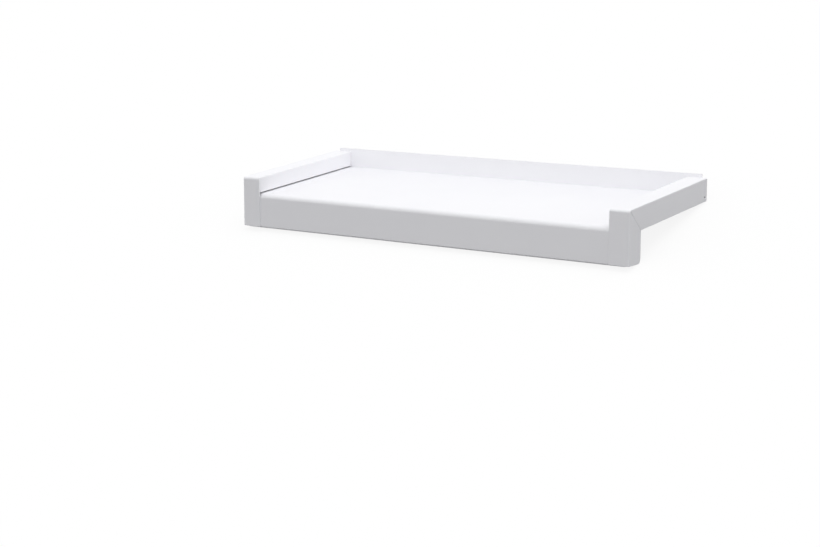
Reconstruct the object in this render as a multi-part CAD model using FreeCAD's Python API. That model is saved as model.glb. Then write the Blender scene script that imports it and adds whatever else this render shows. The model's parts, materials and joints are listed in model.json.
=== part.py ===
import FreeCAD
import Part
import math
import os

# A window sill: one folded strip, and a folded cap that closes each of its ends.
# It is drawn as fitted below a window, with X along the sill, Y towards the window and Z up,
# from the front face of the nose (y = 0) and the drip edge (z = 0).
# At the end it is leaned back into the pose in which it lies on a level floor.
# Lengths are in millimetres and angles in degrees.

# Sill strip
sill_length = 500.0  # end to end
sill_depth = 180.0  # face of the nose to the back of the upstand, measured level
sill_sheet = 1.5  # thickness of the sheet
sill_slope = 5.0  # fall of the plate towards the nose
nose_height = 40.0  # drip edge to the corner of plate and nose
nose_bend = 6.0  # outside radius where the plate turns down
upstand_height = 24.5  # underside of the plate to the top edge, measured at the back
upstand_bend = 1.0  # inside radius where the plate turns up
drip_return = 10.0  # depth of the lip folded back level under the nose
drip_bend = 2.0  # outside radius of the drip edge

# End caps
cap_sheet = 1.5  # thickness of the sheet
cap_width = 24.0  # over both walls
cap_outer_wall = 25.5  # depth of the outer wall, on the rail and on the leg
cap_inner_wall = 17.7  # depth of the inner wall, on the rail only
cap_bend = 3.2  # outside radius where the web turns down at the front
cap_edge = 1.0  # outside radius between web and walls
foot_corner = 5.0  # radius at the rear of the leg's foot
mitre_gap = 0.3  # seam where the notched outer wall closes at the front fold
fixing_hole = 3.0  # diameter
fixing_hole_inset = 5.0  # from the rear end and from the lower edge

# Clearances
end_room = 5.0  # for the sill to lengthen in each cap
plate_gap = 1.5  # inner wall of a cap to the plate
seat_gap = 0.1  # cap to the nose in front and to the upstand behind
foot_lift = 1.0  # drip edge to the foot of a cap

# How far a cut runs past the surface that it opens
overrun = 1.0

fall = math.tan(math.radians(sill_slope))
slant = 1.0 / math.cos(math.radians(sill_slope))  # upright distance across 1 mm measured square

upstand_face = sill_depth - sill_sheet
cap_rear = upstand_face - seat_gap
cap_front = -seat_gap - cap_sheet
cap_outside = sill_length / 2 + end_room + cap_sheet  # outer wall from the middle of the sill
cap_inside = cap_outside - cap_width


def point(y, z):
    """A point of the side view, in the middle of the sill."""
    return FreeCAD.Vector(0, y, z)


def plate(y):
    """Height of the top of the plate."""
    return nose_height + y * fall


def rail(y, depth):
    """Height of the line that runs at a depth below the top of a cap, measured square to it."""
    return plate(y) + (plate_gap + cap_inner_wall - depth) * slant


def turn(before, corner, after, radius):
    """Start, middle and end of the arc that rounds a corner between two straight lines."""
    back = (before - corner).normalize()
    ahead = (after - corner).normalize()
    half = back.getAngle(ahead) / 2
    reach = radius / math.tan(half)
    depth = radius / math.sin(half) - radius
    return corner + back * reach, corner + (back + ahead).normalize() * depth, corner + ahead * reach


def path(corners):
    """Wire through (corner, radius) pairs, with an arc at each inner corner that has a radius."""
    edges = []
    start = corners[0][0]
    for (before, _), (corner, radius), (after, _) in zip(corners, corners[1:], corners[2:]):
        if radius > 0:
            first, middle, last = turn(before, corner, after, radius)
            edges.append(Part.LineSegment(start, first).toShape())
            edges.append(Part.Arc(first, middle, last).toShape())
        else:
            last = corner
            edges.append(Part.LineSegment(start, last).toShape())
        start = last
    edges.append(Part.LineSegment(start, corners[-1][0]).toShape())
    return Part.Wire(edges)


def prism(corners, start, end):
    """Solid between two places along X, with the outline given by (corner, radius) pairs."""
    face = Part.Face(path(corners + corners[:1]))
    face.translate(FreeCAD.Vector(start, 0, 0))
    return face.extrude(FreeCAD.Vector(end - start, 0, 0))


def sill_profile():
    """The strip, drawn along its visible side from the upstand to the drip return."""
    upstand_top = plate(sill_depth) - sill_sheet * slant + upstand_height
    visible_side = path([
        (point(upstand_face, upstand_top), 0),
        (point(upstand_face, plate(upstand_face)), upstand_bend),
        (point(0, plate(0)), nose_bend),
        (point(0, 0), drip_bend),
        (point(drip_return, 0), 0),
    ])
    section = visible_side.makeOffset2D(-sill_sheet, fill=True, openResult=True)
    section.translate(FreeCAD.Vector(-sill_length / 2, 0, 0))
    return section.extrude(FreeCAD.Vector(sill_length, 0, 0))


def cap_line(depth, past=0.0):
    """Rear end, front corner and foot of the line at a depth inside the web of a cap."""
    rear = cap_rear + past
    front = cap_front + depth
    foot = foot_lift - past
    return point(rear, rail(rear, depth)), point(front, rail(front, depth)), point(front, foot)


def cap_block():
    """The right cap before it is hollowed, with the long edges of its web rounded."""
    rear_top, front_top, front_foot = cap_line(0)
    rear_low, inner_corner, rear_foot = cap_line(cap_outer_wall)
    web = [(rear_top, 0), (front_top, cap_bend), (front_foot, 0)]
    walls = [(rear_foot, foot_corner), (inner_corner, 0), (rear_low, 0)]
    block = prism(web + walls, cap_inside, cap_outside)
    long_edges = []
    for side in (cap_inside, cap_outside):
        edge_of_web = path(web)
        edge_of_web.translate(FreeCAD.Vector(side, 0, 0))
        for edge in block.Edges:
            middle = Part.Vertex(edge.valueAt((edge.FirstParameter + edge.LastParameter) / 2))
            if edge_of_web.distToShape(middle)[0] < FreeCAD.Base.Precision.confusion():
                long_edges.append(edge)
    return block.makeFillet(cap_edge, long_edges)


def hollow():
    """The room under the web, between the two walls and open below and behind."""
    rear, front, foot = cap_line(cap_sheet, overrun)
    below = point(rear.y, foot.z)
    corners = [(rear, 0), (front, cap_bend - cap_sheet), (foot, 0), (below, 0)]
    return prism(corners, cap_inside + cap_sheet, cap_outside - cap_sheet)


def inner_wall_cut():
    """What is cut away below the inner wall, so that plate and nose pass under it."""
    rear, _, _ = cap_line(cap_inner_wall, overrun)
    _, _, foot = cap_line(cap_sheet, overrun)
    front = point(foot.y, rail(foot.y, cap_inner_wall))
    below = point(rear.y, foot.z)
    corners = [(rear, 0), (front, 0), (foot, 0), (below, 0)]
    return prism(corners, cap_inside - overrun, cap_inside + cap_sheet + overrun)


def mitre():
    """The seam in the outer wall, from the inside of the fold to the corner of rail and leg."""
    _, upper, _ = cap_line(cap_sheet)
    _, lower, _ = cap_line(cap_outer_wall)
    along = (lower - upper).normalize()
    aside = point(-along.z, along.y) * (mitre_gap / 2)
    lower = lower + along * overrun
    corners = [(upper - aside, 0), (lower - aside, 0), (lower + aside, 0), (upper + aside, 0)]
    return prism(corners, cap_outside - cap_sheet - overrun, cap_outside + overrun)


def hole():
    """The fixing hole, set in from the rear end and from the lower edge of the outer wall."""
    y = cap_rear - fixing_hole_inset
    start = FreeCAD.Vector(
        cap_outside - cap_sheet - overrun, y, rail(y, cap_outer_wall - fixing_hole_inset))
    length = cap_sheet + 2 * overrun
    return Part.makeCylinder(fixing_hole / 2, length, start, FreeCAD.Vector(1, 0, 0))


def right_end_cap():
    """A channel with unequal walls, notched and folded down at its front end."""
    return cap_block().cut([hollow(), inner_wall_cut(), mitre(), hole()])


def lean():
    """Angle at which the caps' rear corners and the lowest edge in front touch a floor."""
    rear, _, foot = cap_line(cap_outer_wall)
    low_edges = [
        (foot + point(-foot_corner, foot_corner), foot_corner),
        (point(drip_bend, drip_bend), drip_bend),
        (point(drip_return, 0), 0),
    ]
    angles = []
    for centre, radius in low_edges:
        run = rear - centre
        angles.append(math.atan2(run.z, run.y) + math.asin(radius / run.Length))
    return math.degrees(max(angles))


along_sill = FreeCAD.Vector(1, 0, 0)
middle = FreeCAD.Vector(0, 0, 0)
right = right_end_cap()
pieces = {
    "sill_profile": sill_profile(),
    "right_end_cap": right,
    "left_end_cap": right.mirror(middle, along_sill),
}

for shape in pieces.values():
    shape.rotate(middle, along_sill, -lean())
box = Part.makeCompound(list(pieces.values())).optimalBoundingBox()
to_floor = FreeCAD.Vector(-box.Center.x, -box.Center.y, -box.ZMin)

os.makedirs("parts", exist_ok=True)
for name, shape in pieces.items():
    shape.translate(to_floor)
    shape.exportStep(f"parts/{name}.step")
    print(f"{name}: {shape.Volume:.0f} mm3, {len(shape.Solids)} solid, valid {shape.isValid()}")
print(f"lean {lean():.3f} degrees, box {box.XLength:.2f} x {box.YLength:.2f} x {box.ZLength:.2f} mm")
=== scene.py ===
# %% [markdown]
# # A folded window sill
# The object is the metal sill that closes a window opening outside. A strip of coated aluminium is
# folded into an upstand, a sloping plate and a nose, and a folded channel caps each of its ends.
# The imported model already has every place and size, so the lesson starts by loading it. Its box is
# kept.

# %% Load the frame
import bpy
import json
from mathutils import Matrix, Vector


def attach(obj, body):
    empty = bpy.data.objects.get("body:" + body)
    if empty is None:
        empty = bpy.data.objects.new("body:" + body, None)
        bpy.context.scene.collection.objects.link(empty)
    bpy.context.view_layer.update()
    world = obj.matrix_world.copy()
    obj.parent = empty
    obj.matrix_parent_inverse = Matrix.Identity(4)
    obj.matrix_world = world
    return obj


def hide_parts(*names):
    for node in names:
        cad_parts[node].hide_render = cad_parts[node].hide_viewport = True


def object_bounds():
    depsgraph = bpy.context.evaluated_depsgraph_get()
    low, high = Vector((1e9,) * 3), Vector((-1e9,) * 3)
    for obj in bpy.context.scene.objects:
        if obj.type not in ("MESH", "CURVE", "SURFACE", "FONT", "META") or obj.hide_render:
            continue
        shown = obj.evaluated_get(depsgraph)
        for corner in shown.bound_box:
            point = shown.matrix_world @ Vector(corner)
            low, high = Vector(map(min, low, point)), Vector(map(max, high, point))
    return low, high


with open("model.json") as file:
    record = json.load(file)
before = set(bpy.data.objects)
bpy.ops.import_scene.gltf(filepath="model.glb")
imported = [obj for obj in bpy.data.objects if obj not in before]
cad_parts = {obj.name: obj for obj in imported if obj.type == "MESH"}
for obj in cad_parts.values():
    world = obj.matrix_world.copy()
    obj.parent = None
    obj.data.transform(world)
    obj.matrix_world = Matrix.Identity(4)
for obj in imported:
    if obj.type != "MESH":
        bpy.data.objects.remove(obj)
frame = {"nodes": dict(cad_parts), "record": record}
cad_low, cad_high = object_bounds()
MM = 0.001  # the frame is in metres
print("CAD box in mm", [round(side / MM, 2) for side in cad_high - cad_low])

# %% [markdown]
# The sill lies on the floor on its caps, leaning back. Below a window its upstand is upright, and the
# rest is square to that. We could model it as it leans, with every corner turned. It is easier to
# model it upright and to turn the finished mesh. The face that meets the window frame gives the
# lean, and the lowest front corner of the strip becomes the point that we measure from: there y is
# zero at the nose and z is zero at the drip edge.

# %% Stand the sill upright
import math
from mathutils import Matrix, Vector

mounts = {mount["name"]: mount for mount in frame["record"]["mounts"]}
to_window = Vector(mounts["frame_face"]["axis"])
lean = math.atan2(-to_window.z, to_window.y)


def box_of(node, turned):
    """Lowest and highest corner of a node after a turn."""
    places = [turned @ vertex.co for vertex in frame["nodes"][node].data.vertices]
    columns = list(zip(*places))
    return Vector(map(min, columns)), Vector(map(max, columns))


nose_foot, _ = box_of("sill_profile", Matrix.Rotation(lean, 4, "X"))
to_floor = Matrix.Rotation(-lean, 4, "X") @ Matrix.Translation((0, nose_foot.y, nose_foot.z))
to_upright = to_floor.inverted()
print("the sill leans back by", round(math.degrees(lean), 2), "degrees")

# %% [markdown]
# A designer would read the main sizes from the drawing. Our drawing is the frame: boxes of the
# upright nodes give lengths and ends, the face under the plate gives its fall, and the small fixing
# hole gives the gauge of the sheet. Two lines carry the whole side view, the top of the plate and
# the top of the caps, so each becomes a short function of the distance from the nose.

# %% Read the main sizes
strip_low, strip_high = box_of("sill_profile", to_upright)
cap_low, cap_high = box_of("right_end_cap", to_upright)
hole_place = to_upright @ Vector(mounts["right_fixing_hole"]["pos_m"])
hole_radius = mounts["right_fixing_hole"]["dims"]["r_mm"] * MM
sheet = mounts["right_fixing_hole"]["dims"]["length_mm"] * MM

bed = to_upright @ Vector(mounts["bed_face"]["pos_m"])
bed_axis = to_upright.to_3x3() @ Vector(mounts["bed_face"]["axis"])
slope = math.atan2(bed_axis.y, -bed_axis.z)
slant = 1 / math.cos(slope)


def plate_top(y):
    """Height of the plate, which falls to the nose."""
    return bed.z + sheet * slant + (y - bed.y) * math.tan(slope)


def cap_top(y):
    """Height of a cap's web, which runs level with the plate."""
    return cap_high.z + (y - cap_high.y) * math.tan(slope)


print("strip in mm", [round(side / MM, 1) for side in strip_high - strip_low])
print("sheet of", round(sheet / MM, 2), "mm, fall of the plate", round(math.degrees(slope), 2), "degrees")

# %% [markdown]
# The strip comes first. On the real one a press folds a long flat sheet three times. The section
# could be drawn as a list of points, but a fold is a run followed by a turn, and Blender has both:
# extrude_edge_only feeds the sheet straight on, and spin turns it about the centre of the bend. So
# the mesh is folded as the sheet is, and every bend is a true arc. Each turn is rounded on the
# visible side, and the straight runs are shortened by what the arcs take up.

# %% Plan the folds of the strip
upstand_bend = 1.0 * MM  # inside radius at the foot of the upstand
nose_bend = 6.0 * MM  # outside radius of the nose
drip_bend = 2.0 * MM  # outside radius of the drip edge
drip_return = 10.0 * MM  # depth of the lip folded back under the nose
ALONG = Vector((1, 0, 0))

upstand_face = strip_high.y - sheet
side_view = [
    (Vector((0, upstand_face, strip_high.z)), 0),
    (Vector((0, upstand_face, plate_top(upstand_face))), upstand_bend),
    (Vector((0, 0, plate_top(0))), nose_bend),
    (Vector((0, 0, 0)), drip_bend),
    (Vector((0, drip_return, 0)), 0),
]


def turn_between(ahead, after):
    """Angle about the length of the sill from one direction to the next."""
    return math.atan2(ALONG.dot(ahead.cross(after)), ahead.dot(after))


runs = [(after - before).normalized() for (before, _), (after, _) in zip(side_view, side_view[1:])]
turns = [turn_between(ahead, after) for ahead, after in zip(runs, runs[1:])] + [0]
print("folds in degrees", [round(math.degrees(turn), 1) for turn in turns[:-1]])

# %% [markdown]
# Now the sheet is folded. It begins as one edge along the top of the upstand. The loop feeds it on to
# the start of each bend and spins it through the bend. Twelve steps to a bend keep the facets under
# eight degrees, which smooth shading hides.

# %% Fold the strip
import bmesh

BEND_STEPS = 12
strip = bmesh.new()
corner_before, reach_before = side_view[0][0], 0
ends = [strip.verts.new(corner_before + ALONG * x) for x in (strip_low.x, strip_high.x)]
edge = strip.edges.new(ends)
for (corner, radius), heading, turn in zip(side_view[1:], runs, turns):
    reach = radius * math.tan(abs(turn) / 2)
    run = (corner - corner_before).length - reach_before - reach
    fed = bmesh.ops.extrude_edge_only(strip, edges=[edge])["geom"]
    ends = [item for item in fed if isinstance(item, bmesh.types.BMVert)]
    bmesh.ops.translate(strip, verts=ends, vec=heading * run)
    edge = next(item for item in fed if isinstance(item, bmesh.types.BMEdge))
    if turn:
        centre = ends[0].co + ALONG.cross(heading) * math.copysign(radius, turn)
        bent = bmesh.ops.spin(
            strip, geom=[edge] + ends, cent=centre, axis=ALONG, angle=turn, steps=BEND_STEPS)["geom_last"]
        edge = next(item for item in bent if isinstance(item, bmesh.types.BMEdge))
    corner_before, reach_before = corner, reach
lip = edge.verts[0].co
print("the strip has", len(strip.faces), "faces and ends", round(lip.y / MM, 1), "mm behind the nose")

# %% [markdown]
# So far the strip is a surface without thickness, and it is the visible side. Its faces have to look
# outwards before it gets a wall, because solidify builds the wall on their other side.

# %% Give the strip its gauge
bmesh.ops.recalc_face_normals(strip, faces=strip.faces)
plate = max(strip.faces, key=lambda face: face.calc_area())
if plate.normal.z < 0:
    bmesh.ops.reverse_faces(strip, faces=strip.faces)
bmesh.ops.solidify(strip, geom=strip.faces[:], thickness=sheet)
lowest = min(vertex.co.z for vertex in strip.verts)
print("with its gauge", len(strip.faces), "faces, the lowest point at", round(lowest / MM, 2), "mm")

# %% [markdown]
# An end cap is a channel: a web on top, a deep wall outside and a shallower wall inside. At the front
# the outer wall is notched to a mitre, and the web folds down over the nose. We call the long part
# the rail and the part before the nose the leg. We could fold this mesh as we did the strip, and
# trim the walls along the mitre. It is easier to start from the side view as one face with six
# corners, to round two of them, and to pull it out to the width of the cap.

# %% Draw the side view of a cap
cap_bend = 3.2 * MM  # outside radius of the front fold
foot_corner = 5.0 * MM  # radius at the rear of the foot
FOLD_STEPS = 12

reveal = to_upright @ Vector(mounts["right_reveal_face"]["pos_m"])
outer_wall = 2 * (cap_top(reveal.y) - reveal.z) / slant  # the mount is half way down this wall
leg_rear = cap_low.y + outer_wall
fold_reach = cap_bend * math.tan((math.pi / 2 - slope) / 2)


def under_cap(y, depth):
    """Height of the line at a depth below the web, measured square to it."""
    return cap_top(y) - depth * slant


cap = bmesh.new()
cap_corners = [
    (cap_high.y, cap_top(cap_high.y)),
    (cap_low.y, cap_top(cap_low.y)),
    (cap_low.y, cap_low.z),
    (leg_rear, cap_low.z),
    (leg_rear, under_cap(leg_rear, outer_wall)),
    (cap_high.y, under_cap(cap_high.y, outer_wall)),
]
points = [cap.verts.new((cap_low.x, y, z)) for y, z in cap_corners]
cap.faces.new(points)
for point, reach in ((points[1], fold_reach), (points[3], foot_corner)):
    bmesh.ops.bevel(
        cap, geom=[point], offset=reach, offset_type="OFFSET", affect="VERTICES",
        segments=FOLD_STEPS, profile=0.5, material=-1)
print("side view of a cap:", len(cap.verts), "points, outer wall", round(outer_wall / MM, 2), "mm deep")

# %% [markdown]
# The outline becomes a block and then a sheet. Extruding it gives the block. What is open on the real
# channel is deleted: the rear end, the underside, the back of the leg and the foot. The web, its
# fold and two side walls are left, still without thickness.

# %% Pull the cap out and open it
HAIR = 0.01 * MM  # how far two places may differ and still count as one
FOLD_SLACK = 0.1 * MM  # a bevelled corner strays this little from a true arc
SIDEWAYS = 0.5  # a normal with more than this along the sill is a wall's
fold_centre = Vector((0, cap_low.y + cap_bend, cap_top(cap_low.y) - fold_reach))


def on_web(place):
    """Whether a place lies on the rail's top, on the front of the leg or on the fold between them."""
    from_centre = Vector((0, place.y, place.z)) - fold_centre
    on_fold = abs(from_centre.length - cap_bend) < FOLD_SLACK
    return on_fold or abs(place.z - cap_top(place.y)) < HAIR or abs(place.y - cap_low.y) < HAIR


pulled = bmesh.ops.extrude_face_region(cap, geom=cap.faces[:], use_keep_orig=True)["geom"]
far_side = [item for item in pulled if isinstance(item, bmesh.types.BMVert)]
bmesh.ops.translate(cap, verts=far_side, vec=ALONG * (cap_high.x - cap_low.x))
bmesh.ops.recalc_face_normals(cap, faces=cap.faces)
open_faces = []
for face in cap.faces:
    is_wall = abs(face.normal.x) > SIDEWAYS
    if not is_wall and not all(on_web(vertex.co) for vertex in face.verts):
        open_faces.append(face)
bmesh.ops.delete(cap, geom=open_faces, context="FACES")
print("deleted", len(open_faces), "faces, kept", len(cap.faces))

# %% [markdown]
# The walls still have to be trimmed, slit and drilled. By hand we would select a wall and cut it with
# the knife. A script needs helpers for that: one finds the faces of a wall by where they lie, and one
# cuts them along a plane with bisect_plane.

# %% Helpers for the walls
def lies_at(item, x):
    """Whether a face or an edge lies in the plane of the wall at x."""
    return all(abs(vertex.co.x - x) < HAIR for vertex in item.verts)


def wall_faces(x, behind=-math.inf):
    """Faces of the wall that stands at x, from some distance behind the nose."""
    faces = []
    for face in cap.faces:
        if lies_at(face, x) and face.calc_center_median().y > behind:
            faces.append(face)
    return faces


def cut(faces, place, normal):
    """Cuts some faces along a plane."""
    parts = set(faces)
    for face in faces:
        parts.update(face.edges, face.verts)
    bmesh.ops.bisect_plane(cap, geom=list(parts), plane_co=place, plane_no=normal)


print("faces of the inner and the outer wall:", len(wall_faces(cap_low.x)), len(wall_faces(cap_high.x)))

# %% [markdown]
# The inner wall stops just above the plate, so that the strip can slide under it, and only an edge as
# wide as the gauge runs on down the leg. One cut follows the plate and one the back of the web, and
# what lies below the first and behind the second is deleted.

# %% Trim the inner wall
plate_gap = 1.5 * MM  # from the plate up to the inner wall
ACROSS_RAIL = Vector((0, -math.sin(slope), math.cos(slope)))
web_back = cap_low.y + sheet


def below_wall(behind=-math.inf):
    """Faces of the inner side that lie below the line where the inner wall ends."""
    faces = []
    for face in wall_faces(cap_low.x, behind):
        middle = face.calc_center_median()
        if middle.z < plate_top(middle.y) + plate_gap * slant:
            faces.append(face)
    return faces


cut(wall_faces(cap_low.x), (0, 0, plate_top(0) + plate_gap * slant), ACROSS_RAIL)
cut(below_wall(), (0, web_back, 0), (0, 1, 0))
spare = below_wall(behind=web_back)
print("cutting", len(spare), "parts off the inner wall")
bmesh.ops.delete(cap, geom=spare, context="FACES")

# %% [markdown]
# The outer wall closes in a mitre, which shows as a hairline from the front fold to the corner between
# rail and leg. It could be a dark line in the coat, but then it would vanish close up. Here it is
# a real slit: the face is split along the mitre, the new edge is bevelled to a strip as wide as the
# seam, and the strip is deleted.

# %% Open the mitre
mitre_gap = 0.3 * MM  # width of the seam
mitre_start = 1.5 * MM  # from the fold to where the seam opens

half_angle = (math.pi / 2 + slope) / 2
down_mitre = Vector((0, math.cos(half_angle), -math.sin(half_angle)))
fold_middle = Vector((cap_high.x, fold_centre.y, fold_centre.z)) - down_mitre * cap_bend
rail_and_leg = Vector((cap_high.x, leg_rear, under_cap(leg_rear, outer_wall)))
wall = max(wall_faces(cap_high.x), key=lambda face: face.calc_area())
at_fold = min(wall.verts, key=lambda vertex: (vertex.co - fold_middle).length)
at_corner = min(wall.verts, key=lambda vertex: (vertex.co - rail_and_leg).length)
bmesh.utils.face_split(wall, at_fold, at_corner)
seam = next(edge for edge in at_fold.link_edges if at_corner in edge.verts)
_, opening = bmesh.utils.edge_split(seam, at_fold, mitre_start / seam.calc_length())
slit_top = opening.co.copy()
seam = next(edge for edge in opening.link_edges if at_corner in edge.verts)
print("the seam is", round(seam.calc_length() / MM, 1), "mm long")
slit = bmesh.ops.bevel(
    cap, geom=[seam], offset=mitre_gap / 2, offset_type="OFFSET", affect="EDGES",
    segments=1, profile=0.5, material=-1)["faces"]
bmesh.ops.delete(cap, geom=slit, context="FACES")

# %% [markdown]
# One small hole near the rear lower corner of the outer wall takes a nail. A boolean would drill it,
# at the price of long thin triangles. Instead two cuts set off a square patch round it. The patch
# gets an inset, its inner edges are divided, and the new points are pushed to a circle.

# %% Drill the fixing hole
HOLE_CUTS = 5  # on each side of the square that becomes the hole
ROUGH_HOLE = 1.5  # half the side of that square, in radii of the hole
hole_centre = Vector((cap_high.x, hole_place.y, hole_place.z))
hole_inset = cap_high.y - hole_place.y  # as far from the lower edge
patch_front = hole_place.y - hole_inset
cut(wall_faces(cap_high.x, behind=leg_rear), (0, patch_front, 0), (0, 1, 0))
cut(wall_faces(cap_high.x, behind=patch_front), hole_centre + ACROSS_RAIL * hole_inset, ACROSS_RAIL)
patch = min(wall_faces(cap_high.x), key=lambda face: (face.calc_center_median() - hole_centre).length)
bmesh.ops.inset_individual(cap, faces=[patch], thickness=hole_inset - ROUGH_HOLE * hole_radius)
square = patch.edges[:]
bmesh.ops.delete(cap, geom=[patch], context="FACES_ONLY")
divided = bmesh.ops.subdivide_edges(cap, edges=square, cuts=HOLE_CUTS)["geom_split"]
hole_points = {item for item in divided if isinstance(item, bmesh.types.BMVert)}
for item in divided:
    if isinstance(item, bmesh.types.BMEdge):
        hole_points.update(item.verts)
for point in hole_points:
    point.co = hole_centre + (point.co - hole_centre).normalized() * hole_radius
print("the hole has", len(hole_points), "points and is", round(2 * hole_radius / MM, 2), "mm wide")

# %% [markdown]
# Now the cap gets its gauge. Solidify moves every point square to the faces round it, so the sloping
# web leans out at the rear and the walls stray a little at the fold. Both are squared up
# afterwards. The slit opens lower on the inside, clear of the web's own gauge. The long edges between
# web and walls are rounded last: their radius is smaller than the gauge, and a wall grown from a
# rounded edge would cross itself.

# %% Give the cap its gauge and round its long edges
cap_edge = 1.0 * MM  # outside radius between web and walls
slit_rake = 0.5 * MM  # how much lower the slit opens on the inside
SQUARE_SLACK = 0.1 * MM  # no point strays further than this
EDGE_STEPS = 6

bmesh.ops.solidify(cap, geom=cap.faces[:], thickness=sheet)
for vertex in cap.verts:
    vertex.co.y = min(vertex.co.y, cap_high.y)
    for inside in (cap_low.x + sheet, cap_high.x - sheet):
        if abs(vertex.co.x - inside) < SQUARE_SLACK:
            vertex.co.x = inside
slit_tip = [vertex for vertex in cap.verts if (vertex.co - slit_top).length < mitre_gap]
for outer in slit_tip:
    neighbours = [edge.other_vert(outer) for edge in outer.link_edges]
    inner = min(neighbours, key=lambda neighbour: neighbour.co.x)
    inner.co += down_mitre * slit_rake
bmesh.ops.remove_doubles(cap, verts=cap.verts, dist=HAIR)
bmesh.ops.dissolve_degenerate(cap, edges=cap.edges, dist=HAIR)
long_edges = []
for edge in cap.edges:
    outside = lies_at(edge, cap_low.x) or lies_at(edge, cap_high.x)
    if outside and edge.is_convex and all(on_web(vertex.co) for vertex in edge.verts):
        long_edges.append(edge)
bmesh.ops.bevel(
    cap, geom=long_edges, offset=cap_edge, offset_type="OFFSET", affect="EDGES",
    segments=EDGE_STEPS, profile=0.5, material=-1)
print("rounded", len(long_edges), "edges, the cap has", len(cap.faces), "faces")

# %% [markdown]
# The left cap is the mirror image of the right one. A negative scale makes it and turns its faces
# inside out, so they are reversed again.

# %% Mirror the cap
left_cap = cap.copy()
bmesh.ops.scale(left_cap, vec=(-1, 1, 1), verts=left_cap.verts)
bmesh.ops.reverse_faces(left_cap, faces=left_cap.faces)
print("left cap holds", round(left_cap.calc_volume(signed=True) / MM ** 3), "mm3")

# %% [markdown]
# The three shapes are turned back to the floor and become objects. No sheared and coated sheet has a
# sharp edge, so a bevel of a fifth of a millimetre breaks the edges that are left, and those edges
# catch the light. A bevel by angle would also fill the inner corners of the channel and of the slit,
# so the edges that stand out are picked by weight. The slit's short edges would hold the bevel back
# everywhere, so it is not clamped. Weighted normals keep the broad faces flat beside the narrow
# bevels. Each object rides on the part's one body and stands for its node.

# %% Make the pieces
import bpy

edge_break = 0.2 * MM
BREAK_STEPS = 2
SHARP = math.radians(30)


def make_piece(name, shape, node):
    """Lays a finished shape on the floor as an object that stands for a node."""
    bmesh.ops.transform(shape, matrix=to_floor, verts=shape.verts)
    shape.normal_update()
    weight = shape.edges.layers.float.new("bevel_weight_edge")
    for edge in shape.edges:
        if edge.is_convex and edge.calc_face_angle() > SHARP:
            edge[weight] = 1.0
    mesh = bpy.data.meshes.new(name)
    shape.to_mesh(mesh)
    shape.free()
    mesh.shade_smooth()
    piece = bpy.data.objects.new(name, mesh)
    bpy.context.scene.collection.objects.link(piece)
    broken = piece.modifiers.new("broken_edges", "BEVEL")
    broken.width = edge_break
    broken.segments = BREAK_STEPS
    broken.limit_method = "WEIGHT"
    broken.use_clamp_overlap = False
    piece.modifiers.new("flat_faces", "WEIGHTED_NORMAL")
    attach(piece, "root")
    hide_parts(node)
    print(name, "stands for", node, "with", len(mesh.polygons), "faces")
    return piece


pieces = [
    make_piece("folded_sill", strip, "sill_profile"),
    make_piece("right_folded_cap", cap, "right_end_cap"),
    make_piece("left_folded_cap", left_cap, "left_end_cap"),
]

# %% [markdown]
# The finish is polyester powder coat, white with a trace of blue, baked on aluminium. The powder melts
# and flows in the oven, which leaves a satin skin with a faint orange peel. Two helpers come first.
# One turns the colours that we read off a screen to the linear values that light adds up in, and
# one adds a node with its settings and links.

# %% Helpers for the finish
def linear(hex_colour):
    """Linear colour, with alpha, of an sRGB hex value."""
    channels = [int(hex_colour[i:i + 2], 16) / 255 for i in (1, 3, 5)]
    light = [c / 12.92 if c <= 0.04045 else ((c + 0.055) / 1.055) ** 2.4 for c in channels]
    return (*light, 1.0)


def add_node(tree, kind, settings, links):
    """Adds a node, sets its properties and inputs, and links outputs of other nodes to its inputs."""
    made = tree.nodes.new(kind)
    for name, value in settings.items():
        if isinstance(name, str) and hasattr(made, name):
            setattr(made, name, value)
        else:
            made.inputs[name].default_value = value
    for name, source in links.items():
        tree.links.new(source, made.inputs[name])
    return made


print("the white of the coat is", [round(channel, 3) for channel in linear("#F4F4F7")])

# %% [markdown]
# Three patterns make the coat. The orange peel is a bump with cells two millimetres wide. The skin is
# a little duller or glossier from grain to grain, and the grains are drawn at half a millimetre,
# coarser than the real ones, so that they show. The film is thicker in some places than in others,
# over a hand's width, and the white shifts with it by a shade.

# %% Powder coat
peel_cell = 2.0 * MM
peel_height = 0.02 * MM
skin_grain = 0.5 * MM
film_drift = 70 * MM
GLOSSIEST = 0.40  # roughness of a satin coat
DULLEST = 0.52
THIN_FILM = linear("#F2F2F6")
THICK_FILM = linear("#F6F6F9")

coat = bpy.data.materials.new("white_powder_coat")
coat.use_nodes = True
tree = coat.node_tree
tree.nodes.clear()
place = add_node(tree, "ShaderNodeTexCoord", {}, {}).outputs["Object"]
film = add_node(tree, "ShaderNodeTexNoise", {"Scale": 1 / film_drift, "Detail": 2.0}, {"Vector": place})
white = add_node(
    tree, "ShaderNodeMix", {"data_type": "RGBA", 6: THIN_FILM, 7: THICK_FILM}, {0: film.outputs["Fac"]})
grain = add_node(tree, "ShaderNodeTexNoise", {"Scale": 1 / skin_grain, "Detail": 1.0}, {"Vector": place})
dullness = add_node(
    tree, "ShaderNodeMapRange", {"To Min": GLOSSIEST, "To Max": DULLEST}, {"Value": grain.outputs["Fac"]})
peel = add_node(tree, "ShaderNodeTexNoise", {"Scale": 1 / peel_cell, "Detail": 1.5}, {"Vector": place})
relief = add_node(
    tree, "ShaderNodeBump", {"Strength": 1.0, "Distance": peel_height}, {"Height": peel.outputs["Fac"]})
skin = add_node(
    tree, "ShaderNodeBsdfPrincipled", {"IOR": 1.5},
    {"Base Color": white.outputs[2], "Roughness": dullness.outputs["Result"],
     "Normal": relief.outputs["Normal"]})
add_node(tree, "ShaderNodeOutputMaterial", {}, {"Surface": skin.outputs["BSDF"]})
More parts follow.
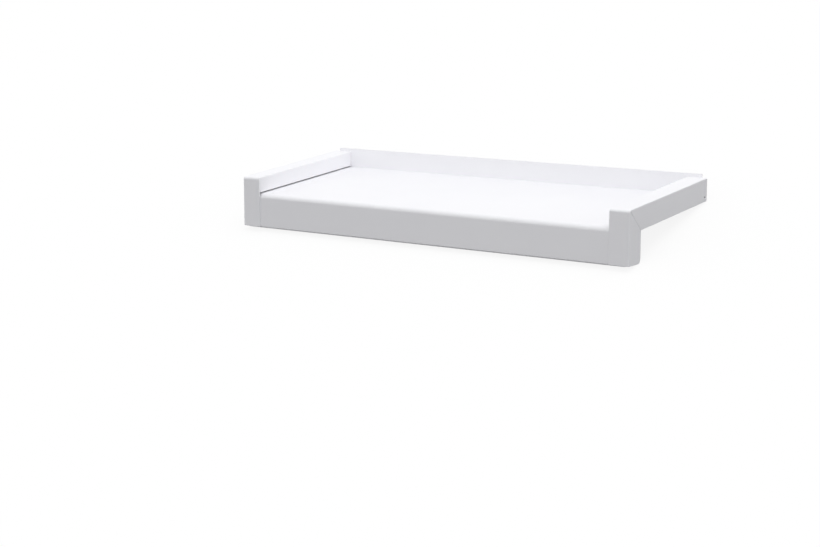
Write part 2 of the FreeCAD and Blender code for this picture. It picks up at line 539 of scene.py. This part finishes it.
for piece in pieces:
    piece.data.materials.append(coat)
print(coat.name, "is on", [piece.name for piece in pieces])

# %% [markdown]
# The studio is a white floor under a soft dome of light. A ring of lamps could do it, but each lamp
# would draw a bright streak down the rounded edges of the caps. The world lights them evenly
# instead. Its light changes with the height above the sill, and none of that is to show behind the
# sill or mirrored in its coat. So a helper tells the rays that show the studio from those that
# light the sill.

# %% Tell the rays apart
studio = bpy.data.worlds.new("soft_dome")
bpy.context.scene.world = studio
studio.use_nodes = True
tree = studio.node_tree
tree.nodes.clear()


def shown_ray(tree):
    """One for a ray that shows the background: straight, mirrored or through glass."""
    ray = add_node(tree, "ShaderNodeLightPath", {}, {}).outputs
    shown = ray["Is Camera Ray"]
    for kind in ("Is Glossy Ray", "Is Transmission Ray"):
        either = add_node(tree, "ShaderNodeMath", {"operation": "MAXIMUM"}, {0: shown, 1: ray[kind]})
        shown = either.outputs["Value"]
    return shown


shown = shown_ray(tree)
print("the rays are told apart by", len(tree.nodes), "nodes")

# %% [markdown]
# The dome follows the sill's own level: it is brightest at the rim, weaker overhead and dark below. A
# gradient texture would need a turned mapping for that. The dot product of the ray with the sill's
# own upright gives the height directly, as a sine. A ray that shows the studio sees plain white.

# %% Soft dome
RIM_STRENGTH = 1.53  # at the sill's level
TOP_STRENGTH = 0.35  # straight above the sill
RIM_EDGE = 0.1  # how softly the light ends at the sill's level, as a sine

sill_up = to_floor.to_3x3() @ Vector((0, 0, 1))
towards = add_node(tree, "ShaderNodeTexCoord", {}, {}).outputs["Generated"]
above = add_node(tree, "ShaderNodeVectorMath", {"operation": "DOT_PRODUCT", 1: sill_up}, {0: towards})
rim = add_node(
    tree, "ShaderNodeMapRange",
    {"interpolation_type": "SMOOTHSTEP", "From Min": -RIM_EDGE, "From Max": RIM_EDGE},
    {"Value": above.outputs["Value"]})
fade = add_node(
    tree, "ShaderNodeMapRange", {"To Min": RIM_STRENGTH, "To Max": TOP_STRENGTH},
    {"Value": above.outputs["Value"]})
glow = add_node(
    tree, "ShaderNodeMath", {"operation": "MULTIPLY"},
    {0: rim.outputs["Result"], 1: fade.outputs["Result"]})
dome = add_node(
    tree, "ShaderNodeBackground", {"Color": linear("#FFFFFF")}, {"Strength": glow.outputs["Value"]})
backdrop = add_node(tree, "ShaderNodeBackground", {"Color": linear("#FFFFFF"), "Strength": 1.0}, {})
mixed = add_node(
    tree, "ShaderNodeMixShader", {},
    {0: shown, 1: dome.outputs["Background"], 2: backdrop.outputs["Background"]})
add_node(tree, "ShaderNodeOutputWorld", {}, {"Surface": mixed.outputs["Shader"]})
print("dome from", RIM_STRENGTH, "at the rim to", TOP_STRENGTH, "above")

# %% [markdown]
# The dome gives the upright faces nearly all their light and the plate about two thirds. The rest
# comes from one lamp overhead. It is a sun lamp, which gives the same light from end to end, with a
# disc so wide that its shadows are soft. It leans a little to the right, where the photograph is
# lighter. Its strength is worked out from the share of light that it adds on a face turned to it.

# %% Lamp overhead
lamp_side = math.radians(86)  # from the nose round to the right
lamp_height = math.radians(78)  # above the sill's level
LAMP_SHARE = 0.33
LAMP_WIDTH = math.radians(50)

lamp = bpy.data.objects.new("lamp_overhead", bpy.data.lights.new("lamp_overhead", "SUN"))
lamp.data.energy = LAMP_SHARE * math.pi  # a sun of strength pi lights a white face to 1
lamp.data.angle = LAMP_WIDTH
lamp.matrix_world = (
    to_floor @ Matrix.Rotation(lamp_side, 4, "Z") @ Matrix.Rotation(math.pi / 2 - lamp_height, 4, "X"))
bpy.context.scene.collection.objects.link(lamp)
print("lamp of", round(lamp.data.energy, 2), "W/m2")

# %% [markdown]
# The floor looks white and keeps the soft shadow of the sill. A floor as bright as it looks would
# throw so much light up at the nose that its edges would drown. So it is white to the rays that
# show it, and dark grey to the light that bounces off it.

# %% Floor
FLOOR_SIDE = 12.0  # metres
SHADOW_SHARE = 0.12  # the rest of the floor's white does not take shadow
PAPER_WHITE = linear("#FAFAFA")
BOUNCE_GREY = linear("#363638")

ground = bmesh.new()
bmesh.ops.create_grid(ground, x_segments=1, y_segments=1, size=FLOOR_SIDE / 2)
bmesh.ops.translate(ground, verts=ground.verts, vec=(0, 0, cad_low.z))
mesh = bpy.data.meshes.new("floor")
ground.to_mesh(mesh)
ground.free()
floor = bpy.data.objects.new("floor", mesh)
bpy.context.scene.collection.objects.link(floor)

paper = bpy.data.materials.new("studio_paper")
paper.use_nodes = True
tree = paper.node_tree
tree.nodes.clear()
lit = add_node(tree, "ShaderNodeBsdfDiffuse", {"Color": PAPER_WHITE}, {})
plain = add_node(tree, "ShaderNodeEmission", {"Color": linear("#FFFFFF"), "Strength": 1.0}, {})
white_floor = add_node(
    tree, "ShaderNodeMixShader", {0: SHADOW_SHARE},
    {1: plain.outputs["Emission"], 2: lit.outputs["BSDF"]})
grey_floor = add_node(tree, "ShaderNodeBsdfDiffuse", {"Color": BOUNCE_GREY}, {})
mixed = add_node(
    tree, "ShaderNodeMixShader", {},
    {0: shown_ray(tree), 1: grey_floor.outputs["BSDF"], 2: white_floor.outputs["Shader"]})
add_node(tree, "ShaderNodeOutputMaterial", {}, {"Surface": mixed.outputs["Shader"]})
floor.data.materials.append(paper)
print("floor of", FLOOR_SIDE, "m at", round(cad_low.z / MM, 2), "mm")

# %% [markdown]
# The photograph looks down on the nose from its right, with a long lens and the sill above the middle
# of the picture. Its camera is set out in the upright frame and leaned back with the sill, so the
# picture is as if the sill were fitted. Standard view keeps the colours as they were written.

# %% Camera
LENS = 75.0  # Blender takes the lens and the sensor in millimetres
SENSOR = 36.0
camera_side = math.radians(35)  # from the nose round to the right
camera_height = math.radians(10)  # above the sill's level
camera_distance = 1874.2 * MM
aim = Vector((0, -24.1, -28.3)) * MM  # from the middle of the nose, at the drip edge

camera = bpy.data.objects.new("camera", bpy.data.cameras.new("camera"))
camera.data.lens = LENS
camera.data.sensor_fit = "HORIZONTAL"
camera.data.sensor_width = SENSOR
turned = Matrix.Rotation(camera_side, 4, "Z") @ Matrix.Rotation(math.pi / 2 - camera_height, 4, "X")
camera.matrix_world = (
    to_floor @ Matrix.Translation(aim) @ turned @ Matrix.Translation((0, 0, camera_distance)))
bpy.context.scene.collection.objects.link(camera)
bpy.context.scene.camera = camera
bpy.context.scene.view_settings.view_transform = "Standard"
print("camera at", [round(c, 3) for c in camera.matrix_world.translation])

# %% [markdown]
# Dressing must not change the size.

# %% Finish
import json
